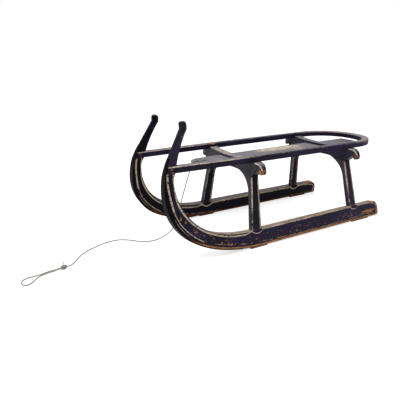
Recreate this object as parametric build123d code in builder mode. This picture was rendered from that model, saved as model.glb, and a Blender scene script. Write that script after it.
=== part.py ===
"""Bentwood sled: two horned runners, splayed legs, scrolled bunks, a hoop rail and a tow cord."""
from build123d import *
import os
from math import asin, atan2, cos, pi, radians, sin, sqrt, tan

# Frame: millimetres, +X forward, +Y left, +Z up, origin on the floor under the middle of the sled.

# Runners
runner_lean = 10.0          # degrees that the tops lean inward
half_track = 188.0          # centre line to a runner's mid-plane, at the floor
runner_thick = 30.0
runner_top = 64.0           # upper edge of the flat part, measured up the leaning plane
runner_rear = -460.0
rear_slant = 8.0            # how far the rear end's top leans forward
rear_top_radius = 30.0
rear_heel_radius = 12.0
runner_edge = 3.0           # bevel along the edges of both faces
sole_bend_start = 145.0     # where the underside starts to rise
sole_bends = [              # underside and front edge, from level to upright
    # radius, sweep in degrees
    (641.0, 15.6),
    (340.0, 15.1),
    (192.0, 59.3),
]
top_bend_start = 189.4      # where the upper edge starts to rise
top_bends = [               # upper edge and back edge, from level to upright
    # radius, sweep in degrees
    (437.0, 17.6),
    (193.6, 72.4),
]

# Horns: blades that rise from shoulders on the runners, through the slotted ends of the seat hoop
horn_thick = 12.0
horn_front_radius = 262.0   # backward bend of the front edge, flush with the shoe's face
horn_bare = 2.9             # degrees of that bend above the shoe, then straight up to the neck
horn_root = 446.5           # back edge where the runner's shoulder is
horn_base = 438.0           # back edge at the seat hoop's top
horn_swell = 4.0            # bow of the back edge above that
horn_neck = 434.0           # height of the neck's front up the leaning plane
horn_neck_depth = 23.0      # front edge to back edge at the neck
horn_neck_drop = 4.0        # how much lower the back of the neck is
horn_edge = 2.0
notch_radius = 3.0          # hollow under the beak
crook = [
    # ahead of the neck's front, above it, rounding
    (0.8, 7.5, 3.0),
    (0.0, 20.5, 8.0),
    (-23.5, 20.5, 11.0),
]

# Iron shoes let into the runners' front edges
shoe_thick = 4.0
shoe_start = 7.5            # degrees of the sole's first bend that it leaves bare
shoe_end = 27.6             # degrees of the horn's bend that it covers
shoe_taper = 57.0           # height over which it narrows to the horn's thickness

# Scallops in the runners' top edges, one at each side of a leg's foot
scallop_drop = 11.0         # reach down the runner's face
scallop_set = 5.0           # reach in from the edge across the top
scallop_margin = 4.0        # how far it runs past the foot at each end

# Wear pads under the runners
pad_thick = 4.5
pad_width = 23.0
pad_bevel = 2.5
pads = [
    # name, front end, rear end
    ("front", 195.0, 123.0),
    ("rear", -303.0, -399.0),
]

# Seat hoop
rail_width = 28.0
rail_height = 20.0
rail_bottom = 297.0
rail_edge = 3.5             # bevel along the hoop's upper edges
rail_bow = 16.1             # how far each rail bows outward from the runner to its widest
rail_widest = -200.0
hoop_back = -479.5          # middle of the rail across the back
hoop_corner = 142.0         # bend at each rear corner, at the rail's middle

# Bunks
bunk_thick = 32.0
bunk_top = 304.0            # top beside the rails
bunk_dish = 9.0             # how much lower the middle of the top is
bunk_shoulder = 247.0       # underside where a leg stands
flare_radius = 72.0         # curve from a leg's inner face into the arch between the legs
flare_rise = 62.0           # part of that curve's height that is on the leg
scroll_flat = 15.0          # level stretch outside the rail
scroll_radius = 29.0
scroll_tip_radius = 9.0
scroll_throat = 4.5         # radius of the throat behind the tip
throat_turn = 140.0         # degrees
scroll_edge = 3.0           # bevel along a scroll's edges
scroll_narrow = 7.0         # how much each face of a scroll's tip lies inside the bunk's face

# Legs
leg_thick = 18.0
leg_edge = 2.5              # bevel along the outer face
leg_inset = 5.0             # rail's middle to the leg's middle, at the shoulder
tenon_thick = 8.0
tenon_width = 20.0
tenon_length = 20.0
frames = [
    # name, front face of the bunk, front edge of the foot, rear edge of the foot
    ("front", 166.0, 183.0, 141.0),
    ("rear", -276.0, -297.0, -335.0),
]

# Deck plank
plank_thick = 12.0
plank_bottom = 275.0
plank_front = 310.0
plank_half_front = 50.0
plank_half_rear = 69.0
plank_corner = 46.0
tail_rear = -480.0          # plank's narrow tail, behind the rear bunk
tail_half = 53.0
plank_nose = 4.0            # rounding of the front edge that the cord bends over
cord_hole_x = 257.0
cord_hole = 10.0

# Clearance round tenons, in notches and in slots
joint_gap = 0.2

# Tow cord
cord_diameter = 4.0
cord_gap = 0.2              # cord to the surface that it lies on
cord_stray = 1.0            # how far it strays from a straight line along the plank
stopper_diameter = 13.0     # knot under the plank
stopper_drop = 4.5          # its middle below the plank
knot_diameter = 11.0        # knot at the hand loop
knot_length = 17.0
knot_tail = 50.0            # knot's middle to the tip of the tail
tail_radius = 1.5
tail_angle = 20.0           # degrees that the tail turns forward of square
knot_lead = 9.0             # straight length where the cord enters the knot
loop_lead = 8.0             # and where the loop leaves it
knot_ahead = 481.0          # from the plank's front to the knot's middle
knot_side = 12.0            # how far the knot lies to the left
knot_turn = 12.0            # degrees that the knot points to the left of straight ahead

lean = radians(runner_lean)
rail_top = rail_bottom + rail_height
plank_top = plank_bottom + plank_thick
plank_rear = frames[1][1] - bunk_thick
cord_radius = cord_diameter / 2
sides = {"left": 1, "right": -1}
os.makedirs("parts", exist_ok=True)


def save(builder, name):
    """Label a finished piece and write it."""
    builder.part.label = name
    export_step(builder.part, f"parts/{name}.step")


def leaning(side, y, z, angle):
    """Plane along X that leans inward by an angle: local x is forward, local y is up the lean."""
    return Plane(origin=(0, side * y, z), x_dir=(1, 0, 0), z_dir=(0, -cos(angle), -side * sin(angle)))


def across(side, x):
    """Plane across a runner: local x leaves its outer face, local y is up the lean."""
    outward = (0, side * cos(lean), sin(lean))
    return Plane(origin=(x, side * half_track, 0), x_dir=outward, z_dir=(side, 0, 0))


def top_edge(side, face):
    """Plane along one top edge of a runner: local x is forward, local y leaves the scallops' floor."""
    outward = Vector(0, side * cos(lean), sin(lean)) * face
    upward = Vector(0, -side * sin(lean), cos(lean))
    edge = Vector(0, side * half_track, 0) + outward * (runner_thick / 2) + upward * runner_top
    away = outward * scallop_drop + upward * scallop_set
    return Plane(origin=edge, x_dir=(1, 0, 0), z_dir=Vector(1, 0, 0).cross(away))


def clear_of(piece):
    """Test for edges whose middle doesn't touch a piece."""
    return lambda edge: Vertex(edge @ 0.5).distance_to(piece) > joint_gap


def climb(x, height, bends):
    """Where a chain of tangent bends that starts level stands upright."""
    heading = 0.0
    for radius, sweep_angle in bends:
        turned = heading + radians(sweep_angle)
        x += radius * (sin(turned) - sin(heading))
        height += radius * (cos(heading) - cos(turned))
        heading = turned
    return x, height


def bend_chain(line, bends, inset):
    """Tangent bends drawn on from the end of a line, each nearer to its centre by an inset."""
    for radius, sweep_angle in bends:
        line = JernArc(line @ 1, line % 1, radius - inset, sweep_angle)
    return line


# The sole's outer edge touches the pads' level, and the rest of the sole is planed down to it.
sole = pad_thick / cos(lean) - runner_thick / 2 * tan(lean)
front_x, front_height = climb(sole_bend_start, sole, sole_bends)
bare_bend = (sole_bends[0][0], shoe_start)
shod_bends = [(sole_bends[0][0], sole_bends[0][1] - shoe_start)] + sole_bends[1:]
wood_radius = horn_front_radius - shoe_thick
shoe_top = front_height + horn_front_radius * sin(radians(shoe_end))


def wood_edge():
    """Draw the edge of a runner's wood behind its shoe, from the foot of the shoe to its upper end."""
    bare = JernArc((sole_bend_start, sole), (1, 0), *bare_bend, mode=Mode.PRIVATE)
    ledge = Line(bare @ 1, bare @ 1 + (bare % 1).rotate(Axis.Z, 90) * shoe_thick)
    first = JernArc(ledge @ 1, bare % 1, shod_bends[0][0] - shoe_thick, shod_bends[0][1])
    return bend_chain(first, shod_bends[1:] + [(horn_front_radius, shoe_end)], shoe_thick)


# Each rail starts at the shoe's back and bows outward in one large arc.
rail_middle = rail_bottom + rail_height / 2
rail_joint_y = half_track - rail_middle * tan(lean)
rail_slant = asin((rail_middle / cos(lean) - front_height) / wood_radius)
rail_end = front_x - shoe_thick - wood_radius * (1 - cos(rail_slant))
rail_half_span = rail_joint_y + rail_bow
rail_run = rail_end - rail_widest
rail_radius = (rail_run**2 + rail_bow**2) / (2 * rail_bow)


def rail_y(x):
    """Distance of a rail's middle from the centre line."""
    ahead = max(x - rail_widest, 0.0)
    return rail_half_span - rail_radius + sqrt(rail_radius**2 - ahead**2)


def plank_half(x):
    """Half of the plank's width at a place along it."""
    share = (plank_front - x) / (plank_front - plank_rear)
    return plank_half_front + share * (plank_half_rear - plank_half_front)


# How far inward a leg's flare has come where the bunk takes over its curve
flare_in = flare_radius - sqrt(flare_radius**2 - flare_rise**2)


class LegPlace:
    """Where one leg stands: its plane, its foot on the runner and its head under the bunk."""

    def __init__(self, side, bunk_front, foot_front, foot_rear):
        self.side = side
        self.foot = (foot_front, foot_rear)
        self.head = (bunk_front, bunk_front - bunk_thick)
        self.foot_y = half_track - runner_top * sin(lean)
        self.foot_z = runner_top * cos(lean)
        self.head_y = rail_y(sum(self.head) / 2) - leg_inset
        rise = bunk_shoulder - self.foot_z
        self.angle = atan2(self.foot_y - self.head_y, rise)
        self.length = rise / cos(self.angle)
        self.half = leg_thick / 2 / cos(self.angle)
        self.plane = leaning(side, self.foot_y, self.foot_z, self.angle)

    def edge_at(self, edge, height):
        """Point on the front edge (0) or the rear edge (1) at a height up the leg."""
        run = self.head[edge] - self.foot[edge]
        return (self.foot[edge] + run * height / self.length, height)

    def middle_y(self, z):
        """Distance of the leg's middle from the centre line at a height above the floor."""
        return self.head_y + (bunk_shoulder - z) * tan(self.angle)

    def tenon(self, ends, height, gap):
        """Draw one tenon in the leg's plane, larger all round by a gap for its mortise."""
        with Locations((sum(ends) / 2, height)):
            Rectangle(tenon_width + 2 * gap, 2 * (tenon_length + gap))


leg_places = {}
for frame_name, bunk_front, foot_front, foot_rear in frames:
    for side_name, side in sides.items():
        place = LegPlace(side, bunk_front, foot_front, foot_rear)
        leg_places[frame_name, side_name] = place

# Runners: one profile in the leaning plane, sole planed level, shoulders cut beside the horn, mortises
horn_high = horn_neck + crook[-1][1]
horn_side = horn_thick / 2
scallop_depth = scallop_drop * scallop_set / sqrt(scallop_drop**2 + scallop_set**2)
runners = {}
for side_name, side in sides.items():
    runner_plane = leaning(side, half_track, 0, lean)
    with BuildPart() as shoe:
        with BuildSketch(runner_plane):
            with BuildLine():
                wood = wood_edge()
                bare = JernArc((sole_bend_start, sole), (1, 0), *bare_bend, mode=Mode.PRIVATE)
                iron = bend_chain(bare, shod_bends + [(horn_front_radius, shoe_end)], 0)
                Line(iron @ 1, wood @ 1)
            make_face()
        extrude(amount=runner_thick / 2, both=True)
        with BuildSketch(across(side, horn_base)):
            for face in (1, -1):
                with BuildLine():
                    Polyline(
                        (face * runner_thick / 2, shoe_top - shoe_taper),
                        (face * horn_side, shoe_top),
                        (face * horn_side, horn_high),
                        (face * runner_thick, horn_high),
                        (face * runner_thick, shoe_top - shoe_taper),
                        close=True,
                    )
                make_face()
        extrude(amount=runner_thick * 4, both=True, mode=Mode.SUBTRACT)
    save(shoe, f"shoe_{side_name}")
    with BuildPart() as runner:
        with BuildSketch(runner_plane) as outline:
            with BuildLine():
                heel = Vector(runner_rear, sole)
                rear_top = Vector(runner_rear + rear_slant, runner_top)
                bend_chain(Line(heel, (sole_bend_start, sole)), [bare_bend], 0)
                wood = wood_edge()
                step = Line(wood @ 1, wood @ 1 + (wood % 1).rotate(Axis.Z, -90) * shoe_thick)
                front = JernArc(step @ 1, wood % 1, horn_front_radius, horn_bare)
                neck_rise = horn_neck - (front @ 1).Y
                front = Line(front @ 1, front @ 1 + front % 1 * (neck_rise / (front % 1).Y))
                neck = front @ 1
                back = bend_chain(Line(rear_top, (top_bend_start, runner_top)), top_bends, 0)
                back = TangentArc(back @ 1, (horn_root, rail_bottom / cos(lean)), tangent=back % 1)
                back = Line(back @ 1, (horn_base, rail_top / cos(lean)))
                nape = Vector(neck.X - horn_neck_depth, horn_neck - horn_neck_drop)
                bow = (nape - back @ 1).normalized().rotate(Axis.Z, -90) * horn_swell
                ThreePointArc(back @ 1, (back @ 1 + nape) / 2 + bow, nape)
                corners = [neck + Vector(ahead, above) for ahead, above, rounding in crook]
                Polyline(neck, *corners, nape)
                Line(heel, rear_top)
            make_face()
            rounded = [(heel, rear_heel_radius), (rear_top, rear_top_radius), (neck, notch_radius)]
            rounded += [(corner, row[2]) for corner, row in zip(corners, crook)]
            for corner, radius in rounded:
                fillet(outline.vertices().sort_by_distance(corner)[0], radius)
        extrude(amount=runner_thick / 2, both=True)
        split(bisect_by=Plane.XY.offset(pad_thick), keep=Keep.TOP)
        with BuildSketch(across(side, horn_base)):
            for face in (1, -1):
                near = face * horn_side
                far = face * runner_thick
                with BuildLine():
                    Polyline(
                        (near, (rail_bottom - near * sin(lean)) / cos(lean)),
                        (far, (rail_bottom - far * sin(lean)) / cos(lean)),
                        (far, horn_high + runner_thick),
                        (near, horn_high + runner_thick),
                        close=True,
                    )
                make_face()
        extrude(amount=runner_thick * 4, both=True, mode=Mode.SUBTRACT)
        flanks = runner.faces().filter_by(lambda face: abs(face.normal_at().dot(runner_plane.z_dir)) > 0.99)
        cheeks = flanks.filter_by(lambda face: face.center().Z < rail_bottom)
        seats = runner.faces().filter_by(lambda face: abs(face.center().Z - rail_bottom) < joint_gap)
        bevelled = (cheeks.edges() - seats.edges()).filter_by(lambda edge: edge.length > runner_thick * 0.8)
        chamfer(bevelled.filter_by(clear_of(shoe.part)), runner_edge)
        flanks = runner.faces().filter_by(lambda face: abs(face.normal_at().dot(runner_plane.z_dir)) > 0.99)
        blades = flanks.filter_by(lambda face: face.center().Z > rail_bottom)
        bevelled = blades.edges().filter_by(lambda edge: (edge @ 0.5).Z > rail_top)
        chamfer(bevelled.filter_by(clear_of(shoe.part)), horn_edge)
        for frame_name in ("front", "rear"):
            place = leg_places[frame_name, side_name]
            with BuildSketch(place.plane):
                place.tenon(place.foot, 0, joint_gap)
            extrude(amount=tenon_thick / 2 + joint_gap, both=True, mode=Mode.SUBTRACT)
            half_chord = (place.foot[0] - place.foot[1]) / 2 + scallop_margin
            scallop_radius = (half_chord**2 + scallop_depth**2) / (2 * scallop_depth)
            for face in (1, -1):
                with BuildSketch(top_edge(side, face)):
                    with Locations((sum(place.foot) / 2, scallop_radius - scallop_depth)):
                        Circle(scallop_radius)
                extrude(amount=scallop_drop * 2, both=True, mode=Mode.SUBTRACT)
    save(runner, f"runner_{side_name}")
    runners[side_name] = runner

# Wear pads, bevelled at both ends and fitted to the soles
pad_y = half_track - pad_thick * tan(lean)
for pad_name, pad_front, pad_rear in pads:
    for side_name, side in sides.items():
        with BuildPart() as pad:
            with BuildSketch(Plane.XZ.offset(-side * pad_y)):
                with BuildLine():
                    Polyline(
                        (pad_front, pad_thick * 2),
                        (pad_front, pad_bevel),
                        (pad_front - pad_bevel, 0),
                        (pad_rear + pad_bevel, 0),
                        (pad_rear, pad_bevel),
                        (pad_rear, pad_thick * 2),
                        close=True,
                    )
                make_face()
            extrude(amount=pad_width / 2, both=True)
            add(runners[side_name].part, mode=Mode.SUBTRACT)
        save(pad, f"pad_{pad_name}_{side_name}")

# Legs, tapering in their own leaning planes, with a tenon at each end
for (frame_name, side_name), place in leg_places.items():
    with BuildPart() as leg:
        with BuildSketch(place.plane):
            with BuildLine():
                low, high = -leg_thick, place.length + leg_thick
                Polyline(
                    place.edge_at(0, low),
                    place.edge_at(0, high),
                    place.edge_at(1, high),
                    place.edge_at(1, low),
                    close=True,
                )
            make_face()
        extrude(amount=leg_thick * 4, both=True)
        with BuildSketch(Plane(origin=(0, 0, 0), x_dir=(0, place.side, 0), z_dir=(place.side, 0, 0))):
            with BuildLine():
                flare_z = bunk_shoulder - flare_rise
                head_in = (place.head_y - place.half - flare_in, bunk_shoulder)
                flare_in_y = place.middle_y(flare_z) - place.half
                inner = Line((place.middle_y(0) - place.half, 0), (flare_in_y, flare_z))
                flare = TangentArc(inner @ 1, head_in, tangent=inner % 1)
                head_out = (place.head_y + place.half, bunk_shoulder)
                Polyline(flare @ 1, head_out, (place.middle_y(0) + place.half, 0), inner @ 0)
            make_face()
        extrude(amount=plank_front - plank_rear, both=True, mode=Mode.INTERSECT)
        runner_up = (0, -place.side * sin(lean), cos(lean))
        runner_deck = Plane(origin=(0, place.side * place.foot_y, place.foot_z), z_dir=runner_up)
        split(bisect_by=runner_deck, keep=Keep.TOP)
        outward = place.plane.z_dir * -place.side
        outer = leg.faces().filter_by(lambda face: face.normal_at().dot(outward) > 0.99)
        chamfer(outer.edges().filter_by(lambda edge: edge.length > leg_thick * 4), leg_edge)
        with BuildSketch(place.plane):
            place.tenon(place.foot, 0, 0)
            place.tenon(place.head, place.length, 0)
        extrude(amount=tenon_thick / 2, both=True)
    save(leg, f"leg_{frame_name}_{side_name}")

# Bunks: dished top, a seat for each rail, scrolled ends and a slot for the plank
for frame_name, bunk_front, foot_front, foot_rear in frames:
    place = leg_places[frame_name, "left"]
    bunk_rear = bunk_front - bunk_thick
    seat_middle = rail_y((bunk_front + bunk_rear) / 2)
    seat_inner = rail_y(bunk_front) - rail_width / 2 - joint_gap
    scroll_start = seat_middle + rail_width / 2 + scroll_flat
    scroll_end = scroll_start + scroll_radius
    with BuildPart() as bunk:
        with BuildSketch(Plane(origin=(bunk_front, 0, 0), x_dir=(0, 1, 0), z_dir=(1, 0, 0))):
            with BuildLine():
                top = TangentArc((0, bunk_top - bunk_dish), (seat_inner, bunk_top), tangent=(1, 0))
                Polyline(top @ 1, (seat_inner, rail_bottom), (scroll_start, rail_bottom))
                scroll = JernArc((scroll_start, rail_bottom), (1, 0), scroll_radius, -90)
                tip = JernArc(scroll @ 1, scroll % 1, scroll_tip_radius, -180)
                throat = JernArc(tip @ 1, tip % 1, scroll_throat, throat_turn)
                under = TangentArc(
                    throat @ 1, (place.head_y + place.half, bunk_shoulder), tangent=throat % 1
                )
                arch_end = place.head_y - place.half - flare_in
                arch_top = (arch_end - flare_radius + flare_in, bunk_shoulder + flare_radius - flare_rise)
                Line(under @ 1, (arch_end, bunk_shoulder))
                arch = TangentArc(arch_top, (arch_end, bunk_shoulder), tangent=(1, 0))
                Line(arch @ 0, (0, arch_top[1]))
                mirror(about=Plane.YZ)
            make_face()
        extrude(amount=-bunk_thick)
        with BuildSketch(Plane.XY.offset(bunk_shoulder)):
            for side in sides.values():
                for face_x, inward in ((bunk_front, -1), (bunk_rear, 1)):
                    with BuildLine():
                        Polyline(
                            (face_x, side * scroll_start),
                            (face_x + inward * scroll_narrow, side * scroll_end),
                            (face_x, side * scroll_end),
                            close=True,
                        )
                    make_face()
        extrude(amount=rail_top - bunk_shoulder, mode=Mode.SUBTRACT)
        scrolls = bunk.edges().filter_by(lambda edge: abs(edge.center().Y) > scroll_start)
        scrolls = scrolls.filter_by(GeomType.ELLIPSE).filter_by(lambda edge: edge.length > scroll_radius)
        chamfer(scrolls, scroll_edge)
        with BuildSketch(Plane.XY.offset(plank_bottom)):
            with BuildLine():
                slot_front = plank_half(bunk_front) + joint_gap
                slot_rear = plank_half(bunk_rear) + joint_gap
                Polyline(
                    (bunk_front, slot_front),
                    (bunk_front, -slot_front),
                    (bunk_rear, -slot_rear),
                    (bunk_rear, slot_rear),
                    close=True,
                )
            make_face()
        extrude(amount=plank_thick + joint_gap, mode=Mode.SUBTRACT)
        for side_name in sides:
            place = leg_places[frame_name, side_name]
            with BuildSketch(place.plane):
                place.tenon(place.head, place.length, joint_gap)
            extrude(amount=tenon_thick / 2 + joint_gap, both=True, mode=Mode.SUBTRACT)
    save(bunk, f"bunk_{frame_name}")

# Seat hoop: one bevelled strip swept from notch to notch round the back
hoop_corner_x = hoop_back + hoop_corner
hoop_start = rail_end + rail_height
hoop_gap = joint_gap + rail_width / 2 * tan(lean) * tan(rail_slant)
shoe_back = (cos(rail_slant), 0, sin(rail_slant))
hoop_cut = Plane(origin=(rail_end - hoop_gap, 0, rail_middle), z_dir=shoe_back)
hoop_middle = (hoop_start + rail_widest) / 2
with BuildPart() as seat_hoop:
    with BuildLine(Plane.XY.offset(rail_bottom)) as hoop_path:
        rail = ThreePointArc(
            (hoop_start, rail_y(hoop_start)), (hoop_middle, rail_y(hoop_middle)), (rail_widest, rail_half_span)
        )
        straight = Line(rail @ 1, (hoop_corner_x, rail_half_span))
        corner = JernArc(straight @ 1, straight % 1, hoop_corner, 90)
        Line(corner @ 1, (hoop_back, 0))
        mirror(about=Plane.XZ)
    with BuildSketch(Plane(origin=rail @ 0, x_dir=(0, 0, 1), z_dir=rail % 0)) as strip:
        Rectangle(rail_height, rail_width, align=(Align.MIN, Align.CENTER))
        chamfer(strip.vertices().group_by(Axis.X)[-1], rail_edge)
    sweep(path=hoop_path.wires()[0])
    split(bisect_by=hoop_cut, keep=Keep.BOTTOM)
    for side in sides.values():
        with BuildSketch(leaning(side, half_track, 0, lean)):
            with Locations((horn_base - 2 * joint_gap, rail_middle / cos(lean))):
                Rectangle(runner_thick * 2, rail_height * 2, align=(Align.MIN, Align.CENTER))
        extrude(amount=horn_side + joint_gap, both=True, mode=Mode.SUBTRACT)
save(seat_hoop, "seat_hoop")

# Deck plank: wider towards the rear bunk, then a narrow tail; a rounded nose and the cord's hole
with BuildPart() as deck_plank:
    with BuildSketch(Plane.XY.offset(plank_bottom)) as plank_plan:
        with BuildLine():
            Polyline(
                (plank_front, plank_half_front),
                (plank_front, -plank_half_front),
                (plank_rear, -plank_half_rear),
                (plank_rear, -tail_half),
                (tail_rear, -tail_half),
                (tail_rear, tail_half),
                (plank_rear, tail_half),
                (plank_rear, plank_half_rear),
                close=True,
            )
        make_face()
        fillet(plank_plan.vertices().group_by(Axis.X)[-1], plank_corner)
    extrude(amount=plank_thick)
    nose_edges = deck_plank.faces().sort_by(Axis.Z)[-1].edges().sort_by(Axis.X)[-1]
    fillet(nose_edges, plank_nose)
    with Locations((cord_hole_x, 0, plank_bottom)):
        upward = (Align.CENTER, Align.CENTER, Align.MIN)
        Cylinder(cord_hole / 2, plank_thick, align=upward, mode=Mode.SUBTRACT)
save(deck_plank, "deck_plank")

# Tow cord: up through the plank, over its nose, down to the floor and out to the knot
on_plank = plank_top + cord_radius + cord_gap
on_floor = cord_radius + cord_gap
nose_bend = plank_nose + cord_radius + cord_gap
knot_height = knot_diameter / 2 + cord_gap
knot_axis = Vector(cos(radians(knot_turn)), sin(radians(knot_turn)), 0)
knot_left = Vector(-knot_axis.Y, knot_axis.X, 0)
knot_middle = Vector(plank_front + knot_ahead, knot_side, knot_height)
knot_back = knot_middle - knot_axis * (knot_length / 2)
knot_front = knot_middle + knot_axis * (knot_length / 2)
knot_face = cord_diameter + cord_gap    # radius of the knot's flat ends

cord_lie = [
    # ahead of the plank's front, to the left, share of the deck's height
    (16, -6, 0.836),
    (32, -9.6, 0.655),
    (47.5, -13, 0.473),
    (62.5, -16.7, 0.299),
    (76, -20, 0.153),
    (91, -23, 0.093),
    (110, -27.5, 0.053),
    (128, -32, 0.024),
    (148, -36, 0.006),
    (174, -43, 0),
    (200, -60, 0),
    (217, -80.5, 0),
    (240, -102, 0),
    (264, -115, 0),
    (303, -115, 0),
    (347, -98.5, 0),
    (390, -75, 0),
    (418.5, -47, 0),
    (438, -16.5, 0),
    (453, 2, 0.003),
]
knot_sag = Vector(0, 0, knot_height - on_floor - cord_radius)  # the cord enters below the knot's middle
cord_route = [
    (cord_hole_x, 0, plank_bottom),
    (cord_hole_x, 0, on_plank),
    ((cord_hole_x + plank_front) / 2, cord_stray, on_plank),
    (plank_front + cord_stray, 0, on_plank),
]
for ahead, left, share in cord_lie:
    cord_route.append((plank_front + ahead, left, on_floor + share * (on_plank - on_floor)))
cord_route.append(tuple(knot_back - knot_axis * knot_lead - knot_sag))
cord_route.append(tuple(knot_back - knot_sag))
cord_bends = {3: nose_bend}     # bends whose radius is set by what the cord lies on

loop_lie = [
    # ahead of the knot, to its left, above the floor
    (29, -0.5, 1.6),
    (52, -1, 0),
    (78, 8, 0),
    (102, 6.5, 0),
    (117, 11, 0),
    (127, 24, 0),
    (128, 40, 0),
    (121, 52, 0),
    (109, 54, 0),
    (98, 44, 0),
    (88, 30, 0),
    (75, 16, 0),
    (52, 7.5, 0),
    (29, 6.6, 1.6),
]
strand = (cord_radius + cord_gap / 2) * knot_left
loop_route = [tuple(knot_front - strand), tuple(knot_front - strand + knot_axis * loop_lead)]
for ahead, left, lift in loop_lie:
    loop_route.append((knot_middle.X + ahead, knot_middle.Y + left, on_floor + lift))
loop_route.append(tuple(knot_front + strand + knot_axis * loop_lead))
loop_route.append(tuple(knot_front + strand))


def bend_radii(points, fixed):
    """Radius at each turn that leaves a tenth of every run straight."""
    radii = []
    for number in range(1, len(points) - 1):
        arriving = Vector(*points[number]) - Vector(*points[number - 1])
        leaving = Vector(*points[number + 1]) - Vector(*points[number])
        half_turn = radians(arriving.get_angle(leaving)) / 2
        shorter = min(arriving.length, leaving.length)
        radii.append(fixed.get(number, 0.45 * shorter / tan(half_turn)))
    return radii


for name, route, fixed in (("tow_cord", cord_route, cord_bends), ("tow_loop", loop_route, {})):
    radii = bend_radii(route, fixed)
    with BuildPart() as tube:
        with BuildLine() as middle:
            FilletPolyline(*route, radius=radii)
        path = middle.wires()[0]
        with BuildSketch(Plane(origin=path @ 0, z_dir=path % 0)):
            Circle(cord_radius)
        sweep(path=path)
    fullness = tube.part.volume / (pi * cord_radius**2 * path.length)
    print(name, "length", round(path.length, 1), "volume / section x length", round(fullness, 4))
    print(name, "bend radii", [round(radius, 1) for radius in radii])
    save(tube, name)

# Knot under the plank, flat where it bears on the wood
with BuildPart() as stopper_knot:
    with Locations((cord_hole_x, 0, plank_bottom - stopper_drop)):
        Sphere(stopper_diameter / 2)
    split(bisect_by=Plane.XY.offset(plank_bottom), keep=Keep.BOTTOM)
save(stopper_knot, "stopper_knot")

# Knot at the hand loop, with its tail end lying on the floor beside it
with BuildPart() as tow_knot:
    with BuildSketch(Plane(origin=knot_middle, x_dir=knot_axis, z_dir=knot_left)):
        with BuildLine():
            half = knot_length / 2
            ThreePointArc((-half, knot_face), (0, knot_diameter / 2), (half, knot_face))
            Polyline((half, knot_face), (half, 0), (-half, 0), (-half, knot_face))
        make_face()
    revolve(axis=Axis(knot_middle, knot_axis))
    tail_turn = knot_left.rotate(Axis.Z, -tail_angle)
    tail_floor = Vector(0, 0, tail_radius + cord_gap - knot_height)
    with BuildLine() as tail:
        FilletPolyline(
            knot_middle,
            knot_middle - tail_turn * knot_diameter + tail_floor,
            knot_middle - tail_turn * knot_tail + tail_floor - knot_axis * tail_radius,
            radius=knot_diameter,
        )
    with BuildSketch(Plane(origin=tail.wires()[0] @ 0, z_dir=tail.wires()[0] % 0)):
        Circle(tail_radius)
    sweep(path=tail.wires()[0])
save(tow_knot, "tow_knot")
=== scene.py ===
"""Bentwood sled: dark worn paint with cream lining, iron-shod runners and a tow cord, in a pale studio."""
import math

import bpy
from mathutils import Matrix, Vector


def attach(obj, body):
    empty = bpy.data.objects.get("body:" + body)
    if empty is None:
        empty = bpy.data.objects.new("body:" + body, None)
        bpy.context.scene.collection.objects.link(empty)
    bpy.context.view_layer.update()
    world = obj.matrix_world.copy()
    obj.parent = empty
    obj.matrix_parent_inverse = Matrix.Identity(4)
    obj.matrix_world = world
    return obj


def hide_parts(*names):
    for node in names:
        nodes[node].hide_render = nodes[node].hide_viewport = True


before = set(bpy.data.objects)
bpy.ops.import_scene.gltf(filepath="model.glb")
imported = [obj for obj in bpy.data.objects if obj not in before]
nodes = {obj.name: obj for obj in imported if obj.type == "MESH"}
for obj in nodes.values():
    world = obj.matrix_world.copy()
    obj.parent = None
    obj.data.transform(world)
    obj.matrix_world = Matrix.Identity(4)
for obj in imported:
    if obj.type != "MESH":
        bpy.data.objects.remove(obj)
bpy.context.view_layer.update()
scene = bpy.context.scene
scene.view_settings.view_transform = "Standard"

# Camera at the photograph's place: metres, radians, and millimetres for the lens
camera_at = Vector((0.9384, 1.2126, 0.6011))
yaw = -2.065
pitch = 0.323
roll = -0.018
focal_length = 35.45
sensor_width = 36
nearest_seen = 0.01

ahead = Vector((math.cos(pitch) * math.cos(yaw), math.cos(pitch) * math.sin(yaw), -math.sin(pitch)))
level = ahead.cross(Vector((0, 0, 1))).normalized()
upright = level.cross(ahead)
camera_right = level * math.cos(roll) + upright * math.sin(roll)
camera_up = upright * math.cos(roll) - level * math.sin(roll)
lens = bpy.data.cameras.new("camera")
lens.sensor_width = sensor_width
lens.lens = focal_length
lens.clip_start = nearest_seen
camera = bpy.data.objects.new("camera", lens)
camera_turn = Matrix((camera_right, camera_up, -ahead)).transposed().to_4x4()
camera.matrix_world = Matrix.Translation(camera_at) @ camera_turn
scene.collection.objects.link(camera)
scene.camera = camera


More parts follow.
